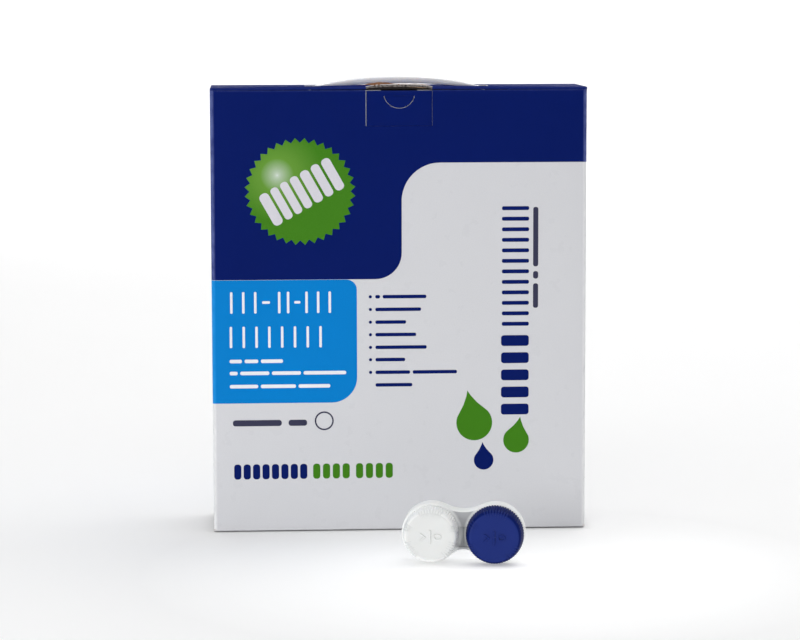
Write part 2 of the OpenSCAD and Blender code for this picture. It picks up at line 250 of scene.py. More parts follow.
class Nodes:
    """A small builder of node materials. The surface's own sockets are set directly."""

    def __init__(self, name, **sockets):
        self.mat = bpy.data.materials.new(name)
        self.mat.use_nodes = True
        self.tree = self.mat.node_tree
        self.shader = self.tree.nodes["Principled BSDF"]
        for key, value in sockets.items():
            self.shader.inputs[key.replace("_", " ")].default_value = value
        self.where = self.tree.nodes.new("ShaderNodeTexCoord").outputs["Object"]

    def add(self, kind, **props):
        """A new node of this kind, with its own settings."""
        node = self.tree.nodes.new("ShaderNode" + kind)
        for key, value in props.items():
            setattr(node, key, value)
        return node

    def put(self, socket, value):
        """Links the value into the socket, or sets it there when it is a plain value."""
        if isinstance(value, bpy.types.NodeSocket):
            self.tree.links.new(value, socket)
        else:
            socket.default_value = value

    def noise(self, size, detail=3.0, rough=0.5, stretch=(1, 1, 1)):
        """Noise whose features are about size millimetres across."""
        mapping = self.add("Mapping")
        self.put(mapping.inputs["Vector"], self.where)
        mapping.inputs["Scale"].default_value = [1 / (size * MM * s) for s in stretch]
        node = self.add("TexNoise")
        self.put(node.inputs["Vector"], mapping.outputs[0])
        node.inputs["Scale"].default_value = 1.0
        node.inputs["Detail"].default_value = detail
        node.inputs["Roughness"].default_value = rough
        return node.outputs[0]

    def waves(self, pitch, axis, distortion):
        """Bands across the axis, one for every pitch millimetres."""
        node = self.add("TexWave", wave_type="BANDS", bands_direction=axis)
        self.put(node.inputs["Vector"], self.where)
        # A wave node of scale 1 has a band for every pi / 10
        node.inputs["Scale"].default_value = math.pi / 10 / (pitch * MM)
        node.inputs["Distortion"].default_value = distortion
        return node.outputs["Fac"]

    def maths(self, how, a, b=0.0):
        node = self.add("Math", operation=how)
        self.put(node.inputs[0], a)
        self.put(node.inputs[1], b)
        return node.outputs[0]

    def ramp(self, value, low, high, to_low=0.0, to_high=1.0):
        """The value mapped from low..high to to_low..to_high, and held at its ends."""
        node = self.add("MapRange", clamp=True)
        for k, v in enumerate((value, low, high, to_low, to_high)):
            self.put(node.inputs[k], v)
        return node.outputs[0]

    def far(self, a, b):
        """The length of the flat vector (a, b)."""
        squares = [self.maths("MULTIPLY", c, c) for c in (a, b)]
        return self.maths("SQRT", self.maths("ADD", *squares))

    def mix(self, factor, a, b):
        """The colour a where factor is 0 and b where it is 1."""
        node = self.add("Mix", data_type="RGBA")
        self.put(node.inputs[0], factor)
        # Inputs 6 and 7 and output 2 are the mix node's colours
        self.put(node.inputs[6], a)
        self.put(node.inputs[7], b)
        return node.outputs[2]

    def axes(self):
        """The place in the shared frame as x, y and z in metres."""
        node = self.add("SeparateXYZ")
        self.put(node.inputs[0], self.where)
        return node.outputs

    def colour(self, value):
        self.put(self.shader.inputs["Base Color"], value)

    def rough(self, value):
        self.put(self.shader.inputs["Roughness"], value)

    def uneven(self, size, detail, low, high):
        """Roughness that wanders from low to high, in patches about size millimetres across."""
        self.rough(self.ramp(self.noise(size, detail), 0.3, 0.7, low, high))

    def bump(self, height, depth):
        """height is 0 to 1 and depth the relief in millimetres."""
        node = self.add("Bump")
        node.inputs["Strength"].default_value = 1.0
        node.inputs["Distance"].default_value = depth * MM
        self.put(node.inputs["Height"], height)
        self.put(self.shader.inputs["Normal"], node.outputs[0])


def shade(colour, gain):
    """The colour with an alpha of 1, made gain times as bright."""
    return (min(colour[0] * gain, 1), min(colour[1] * gain, 1), min(colour[2] * gain, 1), 1)


def near_edges(n, rims=0.3):
    """1 at the carton's folds and less at its rims, 0 on its flat faces, broken up by noise."""
    x, y, z = n.axes()
    # |x| + |y| is at most 0.138 on a wall's flat part, and rises to 0.1388 in the middle of a fold
    ax, ay = n.maths("ABSOLUTE", x), n.maths("ABSOLUTE", y)
    fold = n.ramp(n.maths("ADD", ax, ay), 0.1376, 0.1390)
    top = n.ramp(z, 0.2590, 0.2606, 0.0, rims)
    low = n.ramp(z, 0.0022, 0.0006, 0.0, rims)
    edge = n.maths("MAXIMUM", fold, n.maths("MAXIMUM", top, low))
    # Noise breaks up the folds' paler colour, which is wear of the print plus a painted highlight
    wear_and_highlight_patches = n.ramp(n.noise(3.0, 5, 0.65, (1, 1, 3)), 0.32, 0.62, 0.35, 1.0)
    return n.maths("MULTIPLY", edge, wear_and_highlight_patches)


def washboard(n):
    """The faint ridges that the flutes leave under a printed face, with the grain of its varnish."""
    ridges = n.maths("MULTIPLY", n.waves(3.2, "X", 0.4), 0.5)
    ridges = n.maths("ADD", ridges, n.maths("MULTIPLY", n.waves(3.2, "Y", 0.4), 0.5))
    sag = n.maths("MULTIPLY", n.noise(45, 2), 5.0)
    grain = n.maths("MULTIPLY", n.noise(0.7, 2), 0.16)
    return n.maths("ADD", n.maths("ADD", ridges, sag), grain)


def ink(name, colour, fold_wear_and_highlight, spread=0.05, rough=0.34, level=0.045):
    """Varnished print on board: slight mottling, folds painted paler for both wear and the highlight
    on their rounding, and a washboard relief.
    """
    n = Nodes(name, Specular_IOR_Level=level, IOR=1.48)
    mottled = n.mix(n.noise(38, 3), shade(colour, 1 - spread), shade(colour, 1 + spread))
    fine = n.mix(n.ramp(n.noise(0.5, 2), 0.35, 0.65, 0.0, 0.10), mottled, shade(colour, 1.6))
    # Folds and rims take the paler fold colour: wear of the print plus a painted highlight on the rounding
    n.colour(n.mix(near_edges(n), fine, shade(fold_wear_and_highlight, 1)))
    n.uneven(9, 4, rough - 0.05, rough + 0.10)
    n.bump(washboard(n), 0.02)
    return n.mat


NAVY = (0.0018, 0.0100, 0.116)
BLUE = (0.0020, 0.208, 0.600)
GREEN = (0.052, 0.208, 0.011)
BOARD = (0.662, 0.667, 0.696)

# Each ink's second colour is its fold colour: wear plus a painted highlight on the fold's rounding
ink_navy = ink("ink_navy", NAVY, (0.130, 0.165, 0.400), 0.06)
ink_lid = ink("ink_lid", NAVY, (0.030, 0.045, 0.190), 0.06, 0.62, 0.04)
ink_blue = ink("ink_blue", BLUE, (0.018, 0.310, 0.780))
ink_green = ink("ink_green", GREEN, (0.300, 0.450, 0.260))
ink_dark = ink("ink_dark", (0.045, 0.045, 0.085), (0.3, 0.3, 0.35))
ink_white = ink("ink_white", (0.86, 0.86, 0.90), (0.80, 0.80, 0.82))
ink_lilac = ink("ink_lilac", (0.668, 0.653, 0.717), (0.70, 0.70, 0.74))
board_white = ink("board_white", BOARD, (0.88, 0.88, 0.89), 0.012, 0.30, 0.22)


def badge_green():
    """Green print with the soft round highlight that is printed on the badge."""
    n = Nodes("badge_green", Specular_IOR_Level=0.05, IOR=1.48)
    x, y, z = n.axes()
    dx, dz = n.maths("SUBTRACT", x, -0.0713), n.maths("SUBTRACT", z, 0.2108)
    far = n.far(dx, dz)
    wide = n.mix(n.ramp(far, 0.004, 0.027), (0.160, 0.345, 0.050, 1), shade(GREEN, 1.0))
    near = n.maths("POWER", n.ramp(far, 0.0002, 0.0098), 0.5)
    glow = n.mix(near, (0.70, 0.76, 0.72, 1), wide)
    n.colour(n.mix(n.ramp(n.noise(0.5, 2), 0.35, 0.65, 0.0, 0.06), glow, (0.2, 0.5, 0.1, 1)))
    n.uneven(9, 4, 0.30, 0.42)
    n.bump(washboard(n), 0.02)
    return n.mat


def kraft(name, colour, streak=0.22):
    """Unbleached board: streaky fibres, specks and a dry, uneven surface."""
    n = Nodes(name, Specular_IOR_Level=0.2)
    fibre = n.noise(1.1, 5, 0.7, (1, 1, 5))
    base = n.mix(fibre, shade(colour, 1 - streak), shade(colour, 1 + streak))
    speck = n.ramp(n.noise(0.45, 2), 0.66, 0.72)
    n.colour(n.mix(n.maths("MULTIPLY", speck, 0.5), base, shade(colour, 0.45)))
    n.uneven(4, 4, 0.72, 0.92)
    height = n.maths("ADD", fibre, n.maths("MULTIPLY", n.waves(3.2, "X", 0.6), 0.8))
    n.bump(n.maths("ADD", height, n.maths("MULTIPLY", n.waves(3.2, "Y", 0.6), 0.8)), 0.05)
    return n.mat


def cut_edge():
    """A cut board edge: crushed flutes with light fibres, and near-black painted shade in their hollows."""
    n = Nodes("cut_edge", Specular_IOR_Level=0.15)
    flute = n.ramp(n.noise(1.5, 5, 0.7), 0.34, 0.66)
    n.colour(n.mix(flute, (0.022, 0.018, 0.018, 1), (0.330, 0.295, 0.275, 1)))
    n.uneven(0.8, 3, 0.80, 0.95)
    n.bump(flute, 0.25)
    return n.mat


def fibre_white():
    """White liner torn or crushed along a cut: matt, slightly fluffy."""
    n = Nodes("fibre_white", Specular_IOR_Level=0.1)
    fluff = n.noise(0.35, 4, 0.7)
    n.colour(n.mix(fluff, (0.60, 0.60, 0.62, 1), (0.92, 0.92, 0.92, 1)))
    n.rough(n.ramp(fluff, 0.3, 0.7, 0.80, 0.95))
    n.bump(fluff, 0.06)
    return n.mat


def plastic(name, colour, rough=0.32, spread=0.03, grain=0.012, glow=0.0, level=0.4, reach=1.2):
    """Moulded plastic: faint flow marks, a fine texture and slight scuffs."""
    n = Nodes(name, Specular_IOR_Level=level, Subsurface_Weight=glow)
    if glow:
        n.shader.inputs["Subsurface Radius"].default_value = (1.0, 0.9, 0.8)
        n.shader.inputs["Subsurface Scale"].default_value = reach * MM
    n.colour(n.mix(n.noise(12, 3), shade(colour, 1 - spread), shade(colour, 1 + spread)))
    scuff = n.ramp(n.noise(2.2, 6, 0.7), 0.52, 0.70)
    n.rough(n.maths("ADD", n.maths("MULTIPLY", scuff, 0.12), rough))
    n.bump(n.maths("ADD", n.noise(0.35, 2), n.maths("MULTIPLY", n.noise(5, 2), 2.0)), grain)
    return n.mat


def web_plastic():
    """The case tray's front: white round the wells, and its white web painted grey between them as shade."""
    n = Nodes("case_web", Specular_IOR_Level=0.4)
    x, y, z = n.axes()
    dx, dy = n.maths("SUBTRACT", x, CASE_X * MM), n.maths("SUBTRACT", y, CASE_Y * MM)
    u = n.maths("SUBTRACT", n.maths("MULTIPLY", dx, CASE_C), n.maths("MULTIPLY", dy, CASE_S))
    du = n.maths("SUBTRACT", n.maths("ABSOLUTE", u), WELL * MM)
    dv = n.maths("SUBTRACT", z, FLANGE * MM)
    far = n.far(du, dv)
    # Painted shade: grey on the web and in its recess, away from the wells
    grey = n.mix(n.noise(12, 3), (0.49, 0.50, 0.51, 1), (0.51, 0.52, 0.53, 1))
    n.colour(n.mix(n.ramp(far, 0.0166, 0.0178), (0.90, 0.91, 0.90, 1), grey))
    n.rough(n.ramp(n.noise(2.2, 6, 0.7), 0.52, 0.70, 0.38, 0.50))
    n.bump(n.noise(0.35, 2), 0.01)
    return n.mat


def liquid():
    """Clear lens solution."""
    n = Nodes("lens_solution", Transmission_Weight=1.0, IOR=1.34, Roughness=0.02)
    n.colour(n.mix(n.noise(30, 2), (0.80, 0.92, 0.98, 1), (0.88, 0.96, 0.99, 1)))
    n.bump(n.noise(20, 1), 0.01)
    return n.mat


def film(name):
    """A bottle's printed label: navy head, pale middle, blue foot, under a glossy film."""
    n = Nodes(name, Specular_IOR_Level=0.4, Coat_Weight=0.3, Coat_Roughness=0.12)
    z = n.axes()[2]
    head = n.ramp(z, 0.1296, 0.1298)
    foot = n.ramp(z, 0.0562, 0.0560)
    pale = n.mix(n.noise(25, 3), (0.78, 0.79, 0.81, 1), (0.84, 0.85, 0.86, 1))
    n.colour(n.mix(foot, n.mix(head, pale, shade(NAVY, 1)), shade(BLUE, 1)))
    n.uneven(6, 4, 0.24, 0.36)
    n.bump(n.noise(8, 2), 0.02)
    return n.mat


def paper():
    """Thin leaflet paper with grey show-through of its printed columns."""
    n = Nodes("leaflet_paper", Specular_IOR_Level=0.15)
    x, y, z = n.axes()
    rows = n.maths("GREATER_THAN", n.maths("SINE", n.maths("MULTIPLY", z, 2 * math.pi / 0.0026)), 0.1)
    words = n.ramp(n.noise(1.7, 2, 0.5, (1.6, 1, 0.5)), 0.44, 0.48)
    column = n.maths("GREATER_THAN", n.maths("SINE", n.maths("MULTIPLY", x, 2 * math.pi / 0.022)), -0.86)
    inked = n.maths("MULTIPLY", n.maths("MULTIPLY", rows, words), n.maths("MULTIPLY", column, 0.42))
    base = n.mix(n.noise(1.5, 4), (0.80, 0.80, 0.78, 1), (0.88, 0.88, 0.86, 1))
    n.colour(n.mix(inked, base, (0.16, 0.18, 0.26, 1)))
    n.uneven(3, 3, 0.62, 0.78)
    n.bump(n.noise(0.4, 4), 0.015)
    return n.mat


ink_badge = badge_green()
kraft_in = kraft("kraft_liner", (0.40, 0.26, 0.15))
kraft_torn = kraft("kraft_torn", (0.24, 0.115, 0.06), 0.35)
# Near-black kraft: torn fluting painted with the shadow of the slit it hangs in
kraft_shadowed = kraft("kraft_shadowed", (0.022, 0.017, 0.016), 0.45)
edge_board = cut_edge()
liner_white = fibre_white()
strap_mat = plastic("strap_plastic", (0.900, 0.890, 0.905), 0.26, 0.03, 0.006, 0.60, 0.45, 4.0)
case_white = plastic("case_white", (0.90, 0.91, 0.90), 0.36, 0.012, 0.008, 0.25)
# The white cap's face: the same white plastic, painted darker as shade
case_white_face_shaded = plastic("case_white_shaded_face", (0.79, 0.80, 0.79), 0.36, 0.012, 0.008, 0.20)
case_web_shaded = web_plastic()
case_blue = plastic("case_blue", (0.0095, 0.0240, 0.172), 0.34, 0.06, 0.010, 0.0, 0.12)
# The blue cap's knurled skirt: the same blue, painted darker as shade between its teeth
case_blue_rim_shaded = plastic("case_blue_rim_shaded", (0.0025, 0.0105, 0.108), 0.42, 0.06, 0.010, 0.0, 0.04)
bottle_mat = plastic("bottle_plastic", (0.72, 0.78, 0.82), 0.34, 0.03, 0.014, 0.30)
cap_mat = plastic("cap_plastic", (0.020, 0.075, 0.420), 0.34, 0.05, 0.012)
nozzle_mat = plastic("nozzle_plastic", (0.80, 0.81, 0.80), 0.38, 0.03, 0.012, 0.25)
foam_mat = plastic("liner_foam", (0.76, 0.77, 0.76), 0.60, 0.06, 0.030, 0.1, 0.2)
label_mat = film("label_film")
paper_mat = paper()
liquid_mat = liquid()

# ---------------------------------------------------------------- carton

# Half the carton's width and depth, its top, its board's thickness and the outer radius of its folds
HALF_W, HALF_D, TOP = 110.0, 30.0, 261.6
BOARD_T, FOLD_R = 1.5, 2.0
# Where the walls start and end, half the width of the tab's opening, and where the opening starts
WALL_LOW, WALL_TOP = 1.5, 260.05
TAB_X, TAB_Z = 19.3, 239.1
# Half the flat part of the front and of a side, the length of a fold, and the way all round
FLAT_W, FLAT_D = HALF_W - FOLD_R, HALF_D - FOLD_R
CORNER = math.pi / 2 * FOLD_R
ROUND = 4 * CORNER + 4 * FLAT_W + 4 * FLAT_D


def around(s, off=0.0):
    """The point at distance s round the carton from the middle of its front, off outside the board."""
    s = s % ROUND
    legs = ((FLAT_W, (0, -1), (1, 0)), (2 * FLAT_D, (1, 0), (0, 1)),
            (2 * FLAT_W, (0, 1), (-1, 0)), (2 * FLAT_D, (-1, 0), (0, -1)), (FLAT_W, (0, -1), (1, 0)))
    starts = ((0, -HALF_D), (HALF_W, -FLAT_D), (FLAT_W, HALF_D), (-HALF_W, FLAT_D), (-FLAT_W, -HALF_D))
    for (length, out, along), (x, y) in zip(legs, starts):
        if s <= length:
            return x + along[0] * s + out[0] * off, y + along[1] * s + out[1] * off
        s -= length
        if s <= CORNER:
            a = math.atan2(out[1], out[0]) + s / FOLD_R
            cx = x + along[0] * length - out[0] * FOLD_R
            cy = y + along[1] * length - out[1] * FOLD_R
            return cx + (FOLD_R + off) * math.cos(a), cy + (FOLD_R + off) * math.sin(a)
        s -= CORNER
    return around(0, off)


def at_right(y):
    """The distance round the carton of the place y on its right side."""
    return FLAT_W + CORNER + y + FLAT_D


def at_back(x):
    """The distance round the carton of the place x on its back."""
    return FLAT_W + 2 * CORNER + 2 * FLAT_D + FLAT_W - x


# The places round the carton that divide each fold into six
FOLDS = []
for first in (FLAT_W, at_right(FLAT_D), at_back(-FLAT_W), ROUND - FLAT_W - CORNER):
    FOLDS += [first + CORNER * k / 6 for k in range(7)]


def stations(start, end, extra=()):
    """Places round the carton from start to end, with every fold well divided."""
    out = {round(start, 6), round(end, 6)}
    for s in [*FOLDS, *extra]:
        for turn in (-ROUND, 0, ROUND):
            if start < s + turn < end:
                out.add(round(s + turn, 6))
    widest, closest = 12, 0.8
    steps = int((end - start) / widest)
    for k in range(1, steps):
        s = start + (end - start) * k / steps
        if all(abs(s - o) > closest for o in out):
            out.add(round(s, 6))
    return sorted(out)


def carton_walls():
    """The four walls as one folded board, with the opening for the press tab."""
    ss = stations(-ROUND / 2, ROUND / 2, (-TAB_X, TAB_X, -TAB_X + ROUND))[:-1]
    zs = [WALL_LOW, 60, 120, 180, TAB_Z, WALL_TOP - 0.25, WALL_TOP]
    n, b = len(ss), Build()
    outer, inner = [], []
    for j, z in enumerate(zs):
        crush = -0.15 if j == len(zs) - 1 else 0.0
        outer.append(b.ring([(*around(s, crush), z) for s in ss]))
        inner.append(b.ring([(*around(s, -BOARD_T), z) for s in ss]))

    def solid(i, j):
        """Whether the walls have board in column i and row j."""
        if not 0 <= j < len(zs) - 1:
            return False
        s0, s1 = ss[i % n], ss[(i + 1) % n]
        tab = -TAB_X - 1e-6 <= s0 and s1 <= TAB_X + 1e-6 and s0 < s1
        return not (tab and zs[j] >= TAB_Z)

    def quad(points, mark):
        b.faces.append(points)
        b.marks.append(mark)

    for i in range(n):
        k = (i + 1) % n
        for j in range(len(zs) - 1):
            if not solid(i, j):
                continue
            quad((outer[j][i], outer[j][k], outer[j + 1][k], outer[j + 1][i]), 0)
            quad((inner[j][k], inner[j][i], inner[j + 1][i], inner[j + 1][k]), 1)
            if not solid(i, j + 1):
                quad((outer[j + 1][i], outer[j + 1][k], inner[j + 1][k], inner[j + 1][i]), 3)
            if not solid(i, j - 1):
                quad((outer[j][k], outer[j][i], inner[j][i], inner[j][k]), 3)
            if not solid((i - 1) % n, j):
                quad((outer[j][i], outer[j + 1][i], inner[j + 1][i], inner[j][i]), 3)
            if not solid((i + 1) % n, j):
                quad((outer[j + 1][k], outer[j][k], inner[j][k], inner[j + 1][k]), 3)
    b.piece("carton_walls", [board_white, kraft_in, liner_white, edge_board], "carton",
            replaces=("front_panel", "back_panel", "side_panel_left", "side_panel_right"),
            slot="printed_board", angle=50)


# The printed fields end PRINT outside the board. From there shapes end OVER further out where they
# are printed on a field, or FLUSH where they are on bare board, and all print reaches back by SUNK
PRINT, OVER, FLUSH, SUNK = 0.06, 0.05, -0.01, 0.09


def band(name, rows, mat):
    """Print that wraps the carton: rows of (place round it, low z, high z)."""
    b = Build()
    closed = abs(rows[-1][0] - rows[0][0] - ROUND) < 1e-3
    rings = []
    for s, low, high in rows[:-1] if closed else rows:
        ox, oy = around(s, PRINT)
        ix, iy = around(s, PRINT - SUNK)
        rings.append([(ox, oy, low), (ox, oy, high), (ix, iy, high), (ix, iy, low)])
    b.loft(rings, ends=not closed)
    b.piece(name, [mat], "carton", slot="printed_board", angle=50)


# The navy field's edge: where it steps up, its heights, and the radii of its outer and inner corner
STEP_X, NAVY_LOW, NAVY_HIGH = 1.3, 149.6, 217.7
STEP_R, NOOK_R = 15.4, 22.5


def navy_edge(x):
    """Height of the navy field's lower edge at x, on the front and mirrored on the back."""
    if x <= STEP_X - STEP_R:
        return NAVY_LOW
    if x <= STEP_X:
        return NAVY_LOW + STEP_R - math.sqrt(max(STEP_R ** 2 - (x - STEP_X + STEP_R) ** 2, 0))
    if x >= STEP_X + NOOK_R:
        return NAVY_HIGH
    return NAVY_HIGH - NOOK_R + math.sqrt(max(NOOK_R ** 2 - (STEP_X + NOOK_R - x) ** 2, 0))


def navy_field():
    """The navy field that wraps the whole top of the carton, cut out at the tab."""
    xs = [STEP_X - STEP_R + STEP_R * math.sin(math.radians(7.5 * k)) for k in range(13)]
    xs += [STEP_X + 0.02] + [STEP_X + NOOK_R * (1 - math.cos(math.radians(7.5 * k))) for k in range(1, 13)]
    left, right, step, top = -TAB_X - 0.18, TAB_X + 0.04, 0.01, WALL_TOP + 0.02
    extra = xs + [left, left + step, right - step, right] + [at_back(x) - ROUND for x in xs]
    rows = []
    for s in stations(-ROUND / 2, ROUND / 2, extra):
        at_tab = left + step / 2 < s < right - step / 2
        rows.append((s, navy_edge(around(s)[0]), TAB_Z if at_tab else top))
    band("print_navy", rows, ink_navy)


def blue_field():
    """The light-blue panel from the front, round the left side, to the back."""
    end_x, low, high, r, small = -25.1, 76.8, NAVY_LOW - 0.15, 15.0, 6.0

    def edges(x):
        """The panel's lower and upper edge at x, with a large corner below and a small one above."""
        d = x - (end_x - r)
        down = low + (r - math.sqrt(max(r * r - d * d, 0)) if d > 0 else 0)
        e = x - (end_x - small)
        up = high - (small - math.sqrt(max(small * small - e * e, 0)) if e > 0 else 0)
        return down, up

    xs = [end_x - r + r * math.sin(math.radians(7.5 * k)) for k in range(13)]
    xs += [end_x - small + small * math.sin(math.radians(15 * k)) for k in range(7)]
    start = at_back(end_x) - ROUND
    extra = xs + [at_back(x) - ROUND for x in xs]
    rows = [(s, *edges(around(s)[0])) for s in stations(start, end_x, extra)]
    band("print_blue", rows, ink_blue)


# Each face of the carton as it is seen from outside: u to the right, z up, and w out from its print


def on_front(u, z, w):
    return (u, -HALF_D - PRINT - w, z)


def on_back(u, z, w):
    return (-u, HALF_D + PRINT + w, z)


def on_left(u, z, w):
    return (-HALF_W - PRINT - w, -u, z)


def on_right(u, z, w):
    return (HALF_W + PRINT + w, u, z)


def print_shapes(name, shapes, mat, place, level=OVER, sunk=SUNK):
    """Printed shapes as thin closed plates; a shape is an outline, or an outline with its holes."""
    b = Build()
    for shape in shapes:
        loops = [shape] if isinstance(shape[0][0], (int, float)) else shape
        slab(b, loops, [(-sunk, 0), (level, 0)], place)
    b.piece(name, [mat], "carton", slot="printed_board")


def bar(x0, z0, x1, z1):
    """A plain rounded bar that stands for a word."""
    return rounded(x0, z0, x1, z1, min(x1 - x0, z1 - z0) * 0.42, 4)


def outlined(x0, z0, x1, z1, line, r):
    """A rounded bar drawn as an outline."""
    hole = rounded(x0 + line, z0 + line, x1 - line, z1 - line, max(r - line, 0.2), 6)
    return [rounded(x0, z0, x1, z1, r, 6), hole[::-1]]


def word_rows(x, rows, height):
    """Rows of word bars; each row is (middle z, [word widths])."""
    out, gap = [], height * 0.75
    for z, words in rows:
        at = x
        for w in words:
            out.append(bar(at, z - height / 2, at + w, z + height / 2))
            at += w + gap
    return out


def tilted(points, x, z, degrees):
    """The points turned anticlockwise and moved to (x, z)."""
    c, s = math.cos(math.radians(degrees)), math.sin(math.radians(degrees))
    return [(x + u * c - v * s, z + u * s + v * c) for u, v in points]


def droplet(x, z, r, tilt=0.0):
    """A water drop: a circle that runs up to a point."""
    pts = arc(0, 0, r, 150, 390, 24) + [(0.38 * r, 1.1 * r), (0.12 * r, 1.55 * r), (0, 1.85 * r),
                                        (-0.12 * r, 1.55 * r), (-0.38 * r, 1.1 * r)]
    return tilted(pts, x, z, tilt)


def badge(place):
    """The round toothed badge, with slanted bars for its word."""
    teeth, cx, cz, squash = 36, -58.0, 201.2, 0.967
    ring = []
    for k in range(2 * teeth):
        a, r = math.pi * k / teeth, 32.4 if k % 2 else 29.5
        ring.append((cx + r * math.cos(a), cz + squash * r * math.sin(a)))
    print_shapes("badge", [ring], ink_badge, place)
    bars, start, half, gap = [], -23.9, 10.3, 1.6
    for w in (6.0, 4.9, 4.9, 5.1, 5.7, 5.3, 5.7):
        bars.append(tilted(bar(start, -half, start + w, half), -56.8, cz, 29.4))
        start += w + gap
    print_shapes("badge_bars", bars, ink_lilac, place, 2 * OVER, -0.03)


def uprights(xs, low, high, half=0.72):
    """Upright bars in a row, with their middles at xs."""
    return [bar(x - half, low, x + half, high) for x in xs]


def blocks(start, pitch, count):
    """A row of the short thick bars low on the front."""
    return [bar(start + pitch * k, 31.5, start + pitch * k + 4.2, 40.5) for k in range(count)]


def front_art():
    """The front's print: badge, title, claims, list, quantity, contents, drops and name."""
    def over(name, shapes):
        print_shapes(name, shapes, ink_white, on_front)

    def flush(name, shapes, ink):
        print_shapes(name, shapes, ink, on_front, FLUSH)

    badge(on_front)
    title = uprights((-98.6, -91.6, -84.6, -70.6, -65.4, -54.6, -47.8, -41.0), 129.9, 142.6)
    title += [bar(-80.6, 135.6, -76.0, 137.1), bar(-61.8, 135.6, -58.2, 137.1)]
    over("title_bars", title + uprights([-99.0 + 7.5 * k for k in range(8)], 109.6, 122.2))
    over("claim_bars", word_rows(-99.9, [(101.7, (7.2, 8.0, 12.9)), (94.6, (4.6, 17.0, 17.0, 25.0)),
                                         (86.8, (16.6, 20.6, 18.6))], 2.1))
    rows = [(139.2, (2.8, 25.7)), (131.7, (26.9,)), (124.2, (18.1,)), (116.8, (24.0,)),
            (109.3, (30.2,)), (102.0, (17.5,)), (94.5, (20.4, 26.1)), (87.0, (21.7,))]
    bullets = [circle(-17.2, z, 0.95, 12) for z, words in rows[:-1]]
    flush("bullet_bars", word_rows(-14.3, rows, 2.05) + bullets, ink_navy)
    ring = [circle(-44.6, 66.0, 5.6, 32), circle(-44.6, 66.0, 4.7, 32)[::-1]]
    flush("quantity_bars", [bar(-98.3, 63.2, -69.6, 66.8), bar(-65.6, 63.2, -54.7, 66.8), ring], ink_dark)
    flush("contents_bars", blocks(-97.8, 5.55, 8), ink_navy)
    flush("contents_bars_green", blocks(-51.3, 5.8, 4) + blocks(-26.0, 5.85, 4), ink_green)
    flush("drops_green", [droplet(44.0, 64.0, 10.6, 12), droplet(68.8, 53.4, 7.6, -10)], ink_green)
    flush("drop_navy", [droplet(49.6, 41.6, 5.8, 4)], ink_navy)
    heavy = [rounded(59.8, z, 76.2, z + 6.4, 1.6, 4) for z in [68.6 + 10.2 * k for k in range(5)]]
    light = [rounded(60.2, z, 76.2, z + 2.3, 0.9, 3) for z in [121.4 + 6.2 * k for k in range(12)]]
    flush("name_bars", heavy + light, ink_navy)
    small = [bar(78.6, low, 81.6, high) for low, high in ((131.9, 146.4), (149.2, 153.6), (156.4, 191.4))]
    flush("name_small_bars", small, ink_dark)


def back_and_side_art():
    """The back and the sides carry the same fields, with plain bars for their small print."""
    rows = [(140, (34, 21, 28)), (133, (18, 30, 25, 12)), (126, (27, 16, 22, 17)), (119, (22, 19)),
            (104, (16, 24, 18, 20)), (97, (25, 19, 26)), (90, (12, 28, 21)), (83, (24, 17)),
            (62, (22, 31, 18, 27, 20)), (55, (30, 17, 25, 22, 19)), (48, (19, 26, 33, 15)),
            (41, (28, 21, 16, 30)), (34, (24, 18))]
    print_shapes("back_text", word_rows(-98.0, rows, 2.3), ink_dark, on_back, FLUSH)
    print_shapes("back_heading", [bar(-98, 149, -58, 155)], ink_navy, on_back, FLUSH)
    name = [rounded(24, 196, 74, 208, 5.5, 8), outlined(78, 196, 100, 208, 1.8, 5.5)]
    print_shapes("back_name", name, ink_white, on_back)
    print_shapes("back_drops", [droplet(-30, 236, 6.4, 8)], ink_green, on_back)
    print_shapes("back_title_bars", [bar(12, 232, 72, 240), bar(12, 222, 50, 227)], ink_white, on_back)
    rows = [(60 - 7 * k, w) for k, w in enumerate(((17, 22), (24, 12), (14, 19), (20, 16), (11, 25)))]
    for side, place, low, high, drop_z, level in (("left", on_left, 162, 204, 216, OVER),
                                                  ("right", on_right, 226, 250, 196, FLUSH)):
        print_shapes(f"{side}_name", [outlined(-6.6, low, 6.6, high, 1.6, 6.0)], ink_white, place)
        print_shapes(f"{side}_text", word_rows(-22.0, rows, 2.2), ink_dark, place, FLUSH)
        print_shapes(f"{side}_drop", [droplet(0, drop_z, 7.0)], ink_green, place, level)


# ---------------------------------------------------------------- flaps

BOARD_PATH = [
    (0.0, (0.42,), (0,)), (0.16, (0.14,), (1,)), (0.40, (0.0,), (1,)),
    (1.20, (0.02,), (2,)), (1.42, (0.12,), (3,)), (1.50, (0.26,), (3,)),
]


def board_piece(name, loops, place, body, node, printed, path=BOARD_PATH, kinds=None, angle=40):
    """A flat piece of the carton's board, with its printed side first in the path."""
    b = Build()
    plate(b, loops, path, place, kinds, cap_marks=(0, 3))
    b.piece(name, [printed, liner_white, edge_board, kraft_in], body, replaces=(node,), slot="printed_board",
            angle=angle)


